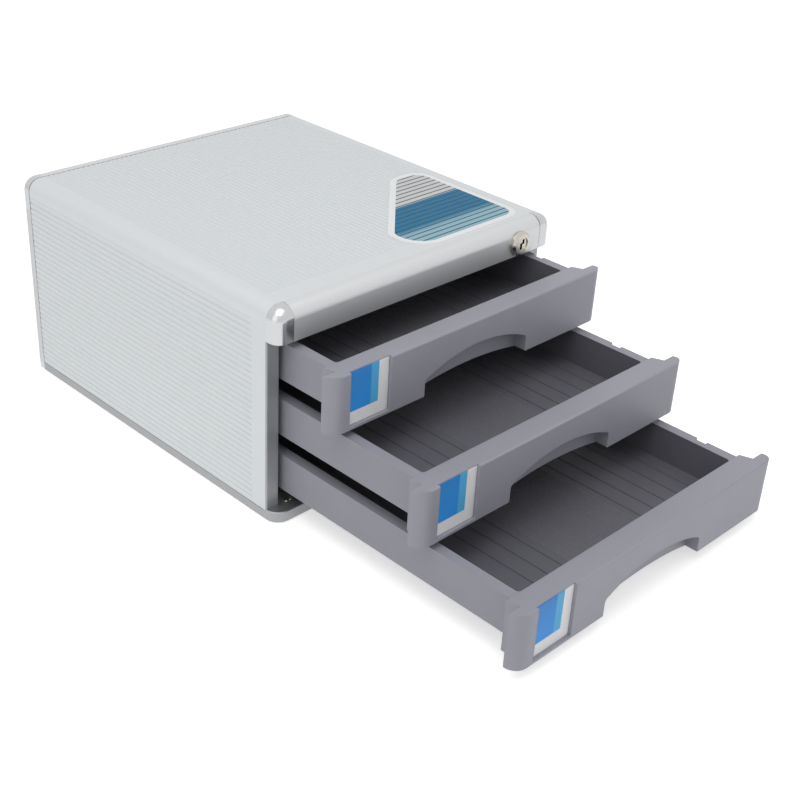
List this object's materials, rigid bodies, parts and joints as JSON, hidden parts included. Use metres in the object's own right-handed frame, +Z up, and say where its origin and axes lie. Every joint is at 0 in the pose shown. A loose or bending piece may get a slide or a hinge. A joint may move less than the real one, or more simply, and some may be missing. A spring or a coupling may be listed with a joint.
{
  "type": "desktop file drawer cabinet",
  "caption": "Desktop cabinet with pull-out A4 file drawers in a ribbed aluminium case, a finger grip under each front and a cam lock that bars the drawers.",
  "frame": {"origin": "middle of the case's footprint, in the plane that the feet stand on", "axes": "+Z up; the drawers open towards -Y; +X to the right of a person facing the drawers"},
  "size_m": [0.305, 0.579, 0.1842],
  "materials": {
    "ribbed_aluminium": "pale anodised, ribbed front to back",
    "satin_rail": "satin anodised extrusion",
    "satin_post": "satin anodised extrusion",
    "silver_cap": "silver plated plastic",
    "dark_sheet": "powder coated sheet",
    "dark_plastic": "moulded",
    "tray_plastic": "moulded, fine grain",
    "front_plastic": "moulded, fine grain",
    "label_card": "printed card",
    "clear_window": "clear polystyrene",
    "zinc_screw": "zinc plated",
    "nickel": "nickel plated brass",
    "foot_rubber": "black rubber",
    "printed_film": "printed adhesive film"
  },
  "bodies": {
    "case": {"top_panel": "ribbed_aluminium", "left_side_panel": "ribbed_aluminium", "right_side_panel": "ribbed_aluminium", "left_corner_profile": "ribbed_aluminium", "right_corner_profile": "ribbed_aluminium", "front_top_rail": "satin_rail", "front_top_left_cap": "silver_cap", "front_top_right_cap": "silver_cap", "left_front_post": "satin_post", "right_front_post": "satin_post", "front_base_rail": "silver_cap", "left_base_rail": "satin_rail", "right_base_rail": "satin_rail", "rear_base_rail": "satin_rail", "base_plate": "dark_sheet", "rear_panel": "dark_sheet", "rear_top_trim": "satin_rail", "rear_left_cap": "silver_cap", "rear_right_cap": "silver_cap", "rear_left_trim": "satin_rail", "rear_right_trim": "satin_rail", "left_runner_panel": "dark_plastic", "right_runner_panel": "dark_plastic", "rubber_feet": "foot_rubber", "foot_screws": "zinc_screw", "base_rail_screws": "zinc_screw", "rear_screws": "zinc_screw", "lock_housing": "nickel", "lock_nut": "nickel", "top_sticker": "printed_film"},
    "lock_plug": {"lock_plug": "nickel", "lock_crank": "zinc_screw"},
    "lock_bar": {"lock_bar": "zinc_screw", "lock_arm": "zinc_screw", "lock_teeth": "zinc_screw"},
    "bottom_drawer": {"bottom_drawer_tray": "tray_plastic", "bottom_drawer_front": "front_plastic", "bottom_label_card": "label_card", "bottom_label_window": "clear_window", "bottom_lock_stud": "zinc_screw", "bottom_front_screws": "zinc_screw"},
    "middle_drawer": {"middle_drawer_tray": "tray_plastic", "middle_drawer_front": "front_plastic", "middle_label_card": "label_card", "middle_label_window": "clear_window", "middle_lock_stud": "zinc_screw", "middle_front_screws": "zinc_screw"},
    "top_drawer": {"top_drawer_tray": "tray_plastic", "top_drawer_front": "front_plastic", "top_label_card": "label_card", "top_label_window": "clear_window", "top_lock_stud": "zinc_screw", "top_front_screws": "zinc_screw"}
  },
  "joints": [
    {"name": "bottom_drawer_slide", "type": "slide", "parent": "case", "child": "bottom_drawer", "axis": [0, -1, 0], "range_m": [-0.244, 0.006]},
    {"name": "middle_drawer_slide", "type": "slide", "parent": "case", "child": "middle_drawer", "axis": [0, -1, 0], "range_m": [-0.15, 0.1]},
    {"name": "top_drawer_slide", "type": "slide", "parent": "case", "child": "top_drawer", "axis": [0, -1, 0], "range_m": [-0.059, 0.191]},
    {"name": "lock_turn", "type": "hinge", "parent": "case", "child": "lock_plug", "pos_m": [0.1105, -0.1675, 0.168], "axis": [0, 1, 0], "range_deg": [0, 90]},
    {"name": "lock_bar_shift", "type": "slide", "parent": "case", "child": "lock_bar", "axis": [-1, 0, 0], "range_m": [0, 0.00311]}
  ],
  "couplings": [
    {"joint": "lock_turn", "follows": "lock_bar_shift", "rad_per_m": 504.85}
  ]
}
